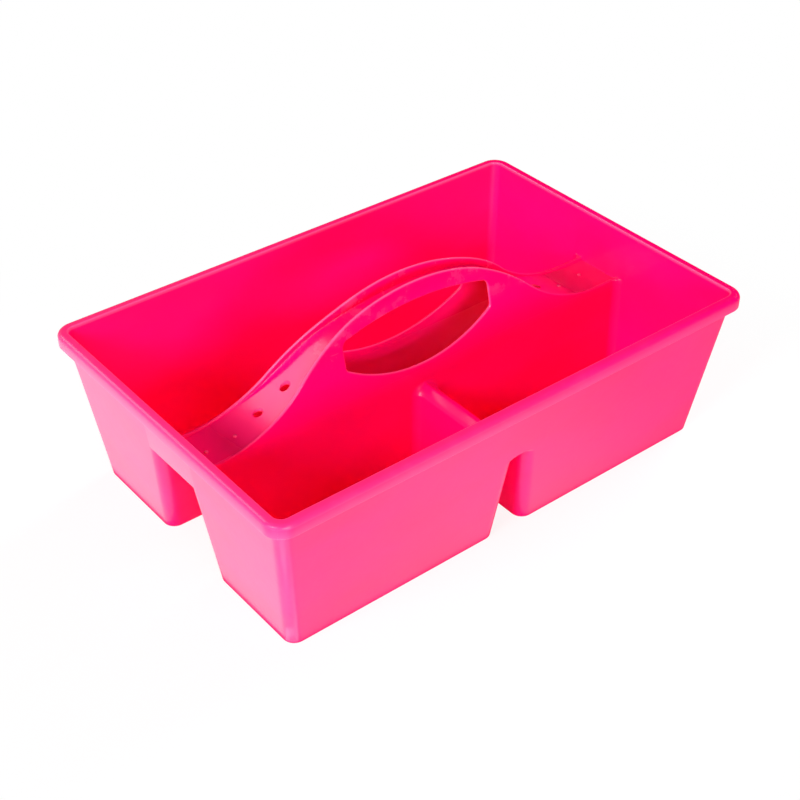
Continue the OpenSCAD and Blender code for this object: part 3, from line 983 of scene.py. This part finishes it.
def pink(name, groups, gloss, wear, held_gloss=None):
    """Hot pink polypropylene with its own gloss and wear. On the handle the gloss changes above
    the bins and the wear starts where hands take hold."""
    gloss_run, hold_low, hold_high, least_wear = 6, 0.108, 0.12, 0.02
    skin_tree, marks_tree, resin_tree = groups
    finish = bpy.data.materials.new(name)
    finish.use_nodes = True
    tree = finish.node_tree
    shader = tree.nodes["Principled BSDF"]
    for socket, value in (("IOR", 1.5), ("Specular IOR Level", 0.35),
                          ("Specular Tint", (1.0, 0.65, 0.77, 1)),
                          ("Coat Weight", 0.18), ("Coat Roughness", 0.14)):
        shader.inputs[socket].default_value = value
    place = tree.nodes.new("ShaderNodeTexCoord").outputs["Object"]

    def group(inner, **values):
        node = tree.nodes.new("ShaderNodeGroup")
        node.node_tree = inner
        tree.links.new(place, node.inputs["Place"])
        for socket, value in values.items():
            node.inputs[socket].default_value = value
        return node

    skin = group(skin_tree, Gloss=gloss)
    marks = group(marks_tree, Wear=wear)
    if held_gloss:
        split = tree.nodes.new("ShaderNodeSeparateXYZ")
        tree.links.new(place, split.inputs[0])
        above = between(tree, split.outputs["Z"], deck_z * MM, (deck_z + gloss_run) * MM, gloss, held_gloss)
        held = between(tree, split.outputs["Z"], hold_low, hold_high, least_wear * wear, wear)
        tree.links.new(above, skin.inputs["Gloss"])
        tree.links.new(held, marks.inputs["Wear"])
    resin = group(resin_tree)
    for mark in ("Scratches", "Rubbed"):
        tree.links.new(marks.outputs[mark], resin.inputs[mark])
    # The edge attribute carries the painted highlight along rounded edges into the colour
    edge = tree.nodes.new("ShaderNodeAttribute")
    edge.attribute_name = "edge"
    tree.links.new(edge.outputs["Fac"], resin.inputs["Edge highlight"])
    tree.links.new(resin.outputs["Colour"], shader.inputs["Base Color"])
    dull = calc(tree, "MULTIPLY", marks.outputs["Rubbed"], 0.12)
    tree.links.new(calc(tree, "ADD", skin.outputs["Roughness"], dull), shader.inputs["Roughness"])
    bump = tree.nodes.new("ShaderNodeBump")
    bump.inputs["Strength"].default_value = 0.35
    bump.inputs["Distance"].default_value = 0.0004
    tree.links.new(skin.outputs["Height"], bump.inputs["Height"])
    tree.links.new(bump.outputs["Normal"], shader.inputs["Normal"])
    return finish


def white_floor():
    """Plain white floor that keeps the shadow of the box. In the gloss of the plastic it is white
    to the left and fades out towards the right."""
    sheet = bpy.data.materials.new("white floor")
    sheet.use_nodes = True
    tree = sheet.node_tree
    tree.nodes.clear()
    paint = tree.nodes.new("ShaderNodeBsdfDiffuse")
    paint.inputs["Color"].default_value = (0.95, 0.95, 0.95, 1)
    glow = tree.nodes.new("ShaderNodeEmission")
    path = tree.nodes.new("ShaderNodeLightPath").outputs
    split = tree.nodes.new("ShaderNodeSeparateXYZ")
    tree.links.new(tree.nodes.new("ShaderNodeTexCoord").outputs["Object"], split.inputs[0])
    squares = []
    for axis, half in (("X", base_len / 2 * MM), ("Y", base_wid / 2 * MM)):
        off = calc(tree, "SUBTRACT", calc(tree, "ABSOLUTE", split.outputs[axis], 0), half)
        squares.append(calc(tree, "POWER", calc(tree, "MAXIMUM", off, 0), 2))
    reach = calc(tree, "SQRT", calc(tree, "ADD", *squares), 0)
    across = calc(tree, "ADD", split.outputs["X"], calc(tree, "MULTIPLY", split.outputs["Y"], 0.25))
    ahead = between(tree, across, -0.05, 0.17, 1.0, 0.0)
    shine = calc(tree, "MULTIPLY", between(tree, reach, 0.0, 0.004), ahead)
    mirrored = calc(tree, "MAXIMUM", path["Is Glossy Ray"], path["Is Transmission Ray"])
    strength = calc(tree, "ADD", path["Is Camera Ray"], calc(tree, "MULTIPLY", mirrored, shine))
    tree.links.new(strength, glow.inputs["Strength"])
    white = calc(tree, "MULTIPLY", path["Is Camera Ray"], between(tree, reach, 0.0, 0.3, 0.85, 1.0))
    blend = tree.nodes.new("ShaderNodeMixShader")
    tree.links.new(calc(tree, "ADD", white, mirrored), blend.inputs[0])
    tree.links.new(paint.outputs[0], blend.inputs[1])
    tree.links.new(glow.outputs[0], blend.inputs[2])
    tree.links.new(blend.outputs[0], tree.nodes.new("ShaderNodeOutputMaterial").inputs[0])
    mesh = bpy.data.meshes.new("floor")
    far = 6
    mesh.from_pydata([(-far, -far, 0), (far, -far, 0), (far, far, 0), (-far, far, 0)], [], [(0, 1, 2, 3)])
    mesh.materials.append(sheet)
    floor = bpy.data.objects.new("floor", mesh)
    bpy.context.scene.collection.objects.link(floor)


def lamp(name, place, aim, width, height, power, lights=True, shows=True):
    """Soft rectangular light that points at a spot. One that only shows is a white card in the gloss
    of the plastic, and one that only lights doesn't show in the gloss."""
    light = bpy.data.lights.new(name, "AREA")
    light.shape = "RECTANGLE"
    light.size, light.size_y = width, height
    light.energy = power
    holder = bpy.data.objects.new(name, light)
    holder.location = place
    holder.rotation_euler = (Vector(aim) - Vector(place)).to_track_quat("-Z", "Y").to_euler()
    holder.visible_camera = False
    holder.visible_diffuse = lights
    holder.visible_glossy = shows
    bpy.context.scene.collection.objects.link(holder)


def studio():
    """Soft lights from the left, the front and the right, and white cards for the gloss. The gloss
    shows the pale room only as a low band, brightest on the left and gone on the right."""
    world = bpy.data.worlds.new("studio")
    world.use_nodes = True
    tree = world.node_tree
    path = tree.nodes.new("ShaderNodeLightPath").outputs
    split = tree.nodes.new("ShaderNodeSeparateXYZ")
    tree.links.new(tree.nodes.new("ShaderNodeTexCoord").outputs["Generated"], split.inputs[0])
    around = calc(tree, "ADD", between(tree, split.outputs["X"], -0.7, -0.2, 1.5, 0.0),
                  between(tree, split.outputs["X"], 0.35, 0.68, 0.6, 0.0))
    band = calc(tree, "MULTIPLY", between(tree, split.outputs["Z"], 0.12, 0.4, 1.0, 0.0), around)
    level = calc(tree, "ADD", path["Is Camera Ray"], calc(tree, "MULTIPLY", path["Is Glossy Ray"], band))
    back = tree.nodes["Background"]
    back.inputs["Color"].default_value = (1, 1, 1, 1)
    tree.links.new(level, back.inputs["Strength"])
    world.cycles.sampling_method = "NONE"
    bpy.context.scene.world = world
    middle, card_z = (0, 0, 0.08), 0.002
    lamp("left light", (-2.68, -0.72, 1.68), middle, 0.8, 0.8, 71)
    lamp("low left light", (-3.03, 0, 1.14), middle, 0.8, 0.8, 56, shows=False)
    lamp("front light", (-0.85, -2.96, 0.92), middle, 1.8, 0.8, 76)
    lamp("high front light", (0, -2.45, 2.14), middle, 0.8, 0.8, 13)
    lamp("right light", (2.77, 0, 1.68), middle, 0.8, 0.8, 42, shows=False)
    lamp("far right light", (2.63, 0.86, 1.68), middle, 0.8, 0.8, 55, shows=False)
    lamp("back card", (-1.0, 1.5, 1.45), (-1.0, 0, 0.6), 1.26, 1.1, 23, lights=False)
    for name, x, y, width, height, power in (("low left card", -0.5, 0.12, 0.636, 0.76, 1.6),
                                             ("low corner card", -0.32, -0.24, 0.22, 0.22, 0.35),
                                             ("near corner card", -0.24, -0.165, 0.13, 0.12, 0.13),
                                             ("low front card", 0.08, -0.292, 0.8, 0.36, 0.41)):
        lamp(name, (x, y, card_z), (x, y, 1), width, height, power, lights=False)


def camera():
    """Camera of the photograph, solved from the straight edges of the box."""
    eye = (-0.54328, -0.66469, 0.68245)
    heading, down, roll = (math.radians(a) for a in (39.023, 36.675, 0.326))
    lens = bpy.data.cameras.new("camera")
    lens.sensor_fit = "HORIZONTAL"
    lens.sensor_width = 36
    lens.lens = 67.804
    lens.clip_start, lens.clip_end = 0.01, 50
    view = bpy.data.objects.new("camera", lens)
    turn = (Matrix.Rotation(-heading, 4, "Z") @ Matrix.Rotation(math.pi / 2 - down, 4, "X")
            @ Matrix.Rotation(roll, 4, "Z"))
    view.matrix_world = Matrix.Translation(eye) @ turn
    bpy.context.scene.collection.objects.link(view)
    bpy.context.scene.camera = view


camera()
finishes = skin_group(), marks_group(), resin_group()
wall_pink = pink("pink wall", finishes, gloss=0.39, wear=0.012)
rim_pink = pink("pink rim", finishes, gloss=0.35, wear=0.1)
handle_pink = pink("pink handle", finishes, gloss=0.39, wear=0.6, held_gloss=0.26)
bins(wall_pink)
bridges(wall_pink)
ridge(wall_pink)
cheeks(handle_pink)
strips(handle_pink)
strip_pips(handle_pink)
rims(rim_pink)
white_floor()
studio()
bpy.context.scene.view_settings.view_transform = "Standard"
bpy.context.scene.cycles.diffuse_bounces = 12
